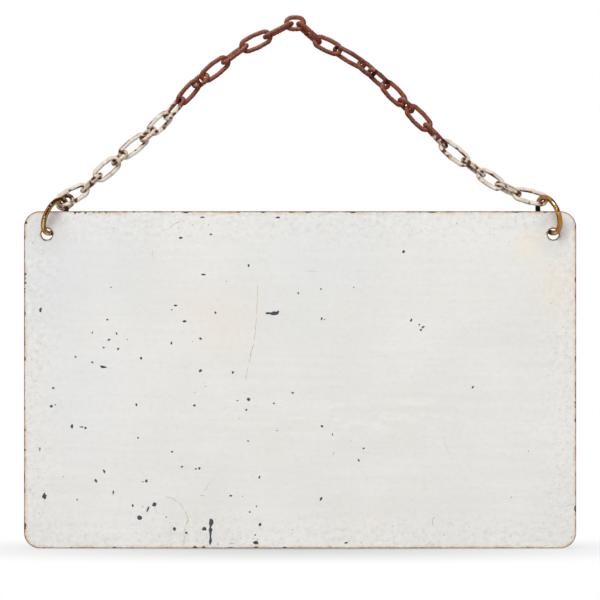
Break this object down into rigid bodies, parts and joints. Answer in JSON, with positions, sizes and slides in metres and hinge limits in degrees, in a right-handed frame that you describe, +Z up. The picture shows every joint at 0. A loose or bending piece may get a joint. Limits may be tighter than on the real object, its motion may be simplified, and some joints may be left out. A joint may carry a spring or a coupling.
{
  "type": "hanging tin sign",
  "caption": "Blank painted tin sign plate with rounded corners, hung from a nail by wire link chain through brass rings.",
  "frame": {"origin": "where the inside of the top link's upper side rests on the nail", "axes": "+X to the right along the sign, +Z up, the painted face looks along -Y"},
  "size_m": [0.33, 0.0245, 0.3188],
  "materials": {
    "painted_tin": "aged off-white paint, chipped, with rusty edges",
    "ring_brass": "old brass wire with dark brown patina",
    "rusty_chain": "pitted red-brown rust",
    "white_chain": "worn cream paint with brown stains where links bear"
  },
  "bodies": {
    "sign_plate": {"sign_plate": "painted_tin"},
    "left_ring": {"left_ring": "ring_brass"},
    "right_ring": {"right_ring": "ring_brass"},
    "top_link": {"top_link": "rusty_chain"},
    "left_spare_link": {"left_spare_link": "white_chain"},
    "left_link_01": {"left_link_01": "rusty_chain"},
    "left_link_02": {"left_link_02": "rusty_chain"},
    "left_link_03": {"left_link_03": "rusty_chain"},
    "left_link_04": {"left_link_04": "rusty_chain"},
    "left_link_05": {"left_link_05": "rusty_chain"},
    "left_link_06": {"left_link_06": "rusty_chain"},
    "left_link_07": {"left_link_07": "white_chain"},
    "left_link_08": {"left_link_08": "white_chain"},
    "left_link_09": {"left_link_09": "white_chain"},
    "left_link_10": {"left_link_10": "white_chain"},
    "left_link_11": {"left_link_11": "white_chain"},
    "left_link_12": {"left_link_12": "white_chain"},
    "left_link_13": {"left_link_13": "white_chain"},
    "left_link_14": {"left_link_14": "white_chain"},
    "right_link_01": {"right_link_01": "rusty_chain"},
    "right_link_02": {"right_link_02": "rusty_chain"},
    "right_link_03": {"right_link_03": "rusty_chain"},
    "right_link_04": {"right_link_04": "rusty_chain"},
    "right_link_05": {"right_link_05": "rusty_chain"},
    "right_link_06": {"right_link_06": "rusty_chain"},
    "right_link_07": {"right_link_07": "rusty_chain"},
    "right_link_08": {"right_link_08": "rusty_chain"},
    "right_link_09": {"right_link_09": "rusty_chain"},
    "right_link_10": {"right_link_10": "white_chain"},
    "right_link_11": {"right_link_11": "white_chain"},
    "right_link_12": {"right_link_12": "white_chain"},
    "right_link_13": {"right_link_13": "white_chain"},
    "right_link_14": {"right_link_14": "white_chain"}
  },
  "joints": [
    {"name": "right_swing_01", "type": "hinge", "parent": "top_link", "child": "right_link_01", "pos_m": [0.00322, 0, -0.00344], "axis": [0.9983, 0, -0.0588], "range_deg": [-8, 8]},
    {"name": "left_swing_01", "type": "hinge", "parent": "top_link", "child": "left_link_01", "pos_m": [-0.0035, 0, -0.00304], "axis": [0.9983, 0, -0.0588], "range_deg": [-8, 8]},
    {"name": "right_swing_02", "type": "hinge", "parent": "right_link_01", "child": "right_link_02", "pos_m": [0.01346, 0, -0.01254], "axis": [0.9958, 0, -0.091], "range_deg": [-8, 8]},
    {"name": "left_swing_02", "type": "hinge", "parent": "left_link_01", "child": "left_link_02", "pos_m": [-0.01655, 0, -0.0098], "axis": [0.9958, 0, -0.091], "range_deg": [-8, 8]},
    {"name": "right_swing_03", "type": "hinge", "parent": "right_link_02", "child": "right_link_03", "pos_m": [0.02536, 0, -0.01826], "axis": [0.9994, 0, -0.0349], "range_deg": [-8, 8]},
    {"name": "left_swing_03", "type": "hinge", "parent": "left_link_02", "child": "left_link_03", "pos_m": [-0.03029, 0, -0.01631], "axis": [0.9994, 0, -0.0349], "range_deg": [-8, 8]},
    {"name": "right_swing_04", "type": "hinge", "parent": "right_link_03", "child": "right_link_04", "pos_m": [0.03973, 0, -0.02677], "axis": [0.9997, 0, -0.025], "range_deg": [-8, 8]},
    {"name": "left_swing_04", "type": "hinge", "parent": "left_link_03", "child": "left_link_04", "pos_m": [-0.04172, 0, -0.02473], "axis": [0.9997, 0, -0.025], "range_deg": [-8, 8]},
    {"name": "right_swing_05", "type": "hinge", "parent": "right_link_04", "child": "right_link_05", "pos_m": [0.04574, 0, -0.03158], "axis": [0.9996, 0, 0.0278], "range_deg": [-8, 8]},
    {"name": "left_swing_05", "type": "hinge", "parent": "left_link_04", "child": "left_link_05", "pos_m": [-0.05387, 0, -0.03435], "axis": [0.9996, 0, 0.0278], "range_deg": [-8, 8]},
    {"name": "right_swing_06", "type": "hinge", "parent": "right_link_05", "child": "right_link_06", "pos_m": [0.05411, 0, -0.03902], "axis": [1, 0, -0.0059], "range_deg": [-8, 8]},
    {"name": "left_swing_06", "type": "hinge", "parent": "left_link_05", "child": "left_link_06", "pos_m": [-0.05912, 0, -0.03836], "axis": [1, 0, -0.0059], "range_deg": [-8, 8]},
    {"name": "right_swing_07", "type": "hinge", "parent": "right_link_06", "child": "right_link_07", "pos_m": [0.0639, 0, -0.04903], "axis": [1, 0, -0.0044], "range_deg": [-8, 8]},
    {"name": "left_swing_07", "type": "hinge", "parent": "left_link_06", "child": "left_link_07", "pos_m": [-0.06809, 0, -0.04845], "axis": [1, 0, -0.0044], "range_deg": [-8, 8]},
    {"name": "right_swing_08", "type": "hinge", "parent": "right_link_07", "child": "right_link_08", "pos_m": [0.06875, 0, -0.0535], "axis": [0.9996, 0, 0.028], "range_deg": [-8, 8]},
    {"name": "left_swing_08", "type": "hinge", "parent": "left_link_07", "child": "left_link_08", "pos_m": [-0.07619, 0, -0.05756], "axis": [0.9996, 0, 0.028], "range_deg": [-8, 8]},
    {"name": "right_swing_09", "type": "hinge", "parent": "right_link_08", "child": "right_link_09", "pos_m": [0.07889, 0, -0.06387], "axis": [0.9999, 0, 0.0147], "range_deg": [-8, 8]},
    {"name": "left_swing_09", "type": "hinge", "parent": "left_link_08", "child": "left_link_09", "pos_m": [-0.08543, 0, -0.06629], "axis": [0.9999, 0, 0.0147], "range_deg": [-8, 8]},
    {"name": "right_swing_10", "type": "hinge", "parent": "right_link_09", "child": "right_link_10", "pos_m": [0.08898, 0, -0.07456], "axis": [0.9998, 0, -0.021], "range_deg": [-8, 8]},
    {"name": "left_swing_10", "type": "hinge", "parent": "left_link_09", "child": "left_link_10", "pos_m": [-0.09038, 0, -0.0708], "axis": [0.9998, 0, -0.021], "range_deg": [-8, 8]},
    {"name": "right_swing_11", "type": "hinge", "parent": "right_link_10", "child": "right_link_11", "pos_m": [0.10163, 0, -0.08468], "axis": [0.9998, 0, -0.0209], "range_deg": [-8, 8]},
    {"name": "left_swing_11", "type": "hinge", "parent": "left_link_10", "child": "left_link_11", "pos_m": [-0.10253, 0, -0.08042], "axis": [0.9998, 0, -0.0209], "range_deg": [-8, 8]},
    {"name": "right_swing_12", "type": "hinge", "parent": "right_link_11", "child": "right_link_12", "pos_m": [0.11142, 0, -0.09196], "axis": [0.9995, 0, -0.032], "range_deg": [-8, 8]},
    {"name": "left_swing_12", "type": "hinge", "parent": "left_link_11", "child": "left_link_12", "pos_m": [-0.10733, 0, -0.08495], "axis": [0.9995, 0, -0.032], "range_deg": [-8, 8]},
    {"name": "right_swing_13", "type": "hinge", "parent": "right_link_12", "child": "right_link_13", "pos_m": [0.12211, 0, -0.09881], "axis": [0.9998, 0, -0.0213], "range_deg": [-8, 8]},
    {"name": "left_swing_13", "type": "hinge", "parent": "left_link_12", "child": "left_link_13", "pos_m": [-0.11761, 0, -0.0937], "axis": [0.9998, 0, -0.0213], "range_deg": [-8, 8]},
    {"name": "right_swing_14", "type": "hinge", "parent": "right_link_13", "child": "right_link_14", "pos_m": [0.13266, 0, -0.10388], "axis": [0.9999, 0, -0.0102], "range_deg": [-8, 8]},
    {"name": "left_swing_14", "type": "hinge", "parent": "left_link_13", "child": "left_link_14", "pos_m": [-0.12589, 0, -0.10124], "axis": [0.9999, 0, -0.0102], "range_deg": [-8, 8]},
    {"name": "right_ring_swing", "type": "hinge", "parent": "right_link_14", "child": "right_ring", "pos_m": [0.1467, 0, -0.10729], "axis": [1, 0, 0.0013], "range_deg": [-8, 8]},
    {"name": "left_ring_swing", "type": "hinge", "parent": "left_link_14", "child": "left_ring", "pos_m": [-0.13828, 0, -0.10766], "axis": [1, 0, 0.0013], "range_deg": [-8, 8]},
    {"name": "spare_link_swing", "type": "hinge", "parent": "left_link_14", "child": "left_spare_link", "pos_m": [-0.13828, 0, -0.10766], "axis": [1, 0, 0.0013], "range_deg": [-4, 4]},
    {"name": "plate_swing", "type": "hinge", "parent": "right_ring", "child": "sign_plate", "pos_m": [0.15403, 0, -0.12744], "axis": [1, 0, 0.0001], "range_deg": [-15, 25]}
  ],
  "couplings": [
    {"joint": "left_swing_01", "follows": "right_swing_01", "ratio": 1},
    {"joint": "left_swing_02", "follows": "right_swing_02", "ratio": 1},
    {"joint": "left_swing_03", "follows": "right_swing_03", "ratio": 1},
    {"joint": "left_swing_04", "follows": "right_swing_04", "ratio": 1},
    {"joint": "left_swing_05", "follows": "right_swing_05", "ratio": 1},
    {"joint": "left_swing_06", "follows": "right_swing_06", "ratio": 1},
    {"joint": "left_swing_07", "follows": "right_swing_07", "ratio": 1},
    {"joint": "left_swing_08", "follows": "right_swing_08", "ratio": 1},
    {"joint": "left_swing_09", "follows": "right_swing_09", "ratio": 1},
    {"joint": "left_swing_10", "follows": "right_swing_10", "ratio": 1},
    {"joint": "left_swing_11", "follows": "right_swing_11", "ratio": 1},
    {"joint": "left_swing_12", "follows": "right_swing_12", "ratio": 1},
    {"joint": "left_swing_13", "follows": "right_swing_13", "ratio": 1},
    {"joint": "left_swing_14", "follows": "right_swing_14", "ratio": 1},
    {"joint": "left_ring_swing", "follows": "right_ring_swing", "ratio": 1},
    {"joint": "spare_link_swing", "follows": "right_ring_swing", "ratio": 0.5}
  ]
}
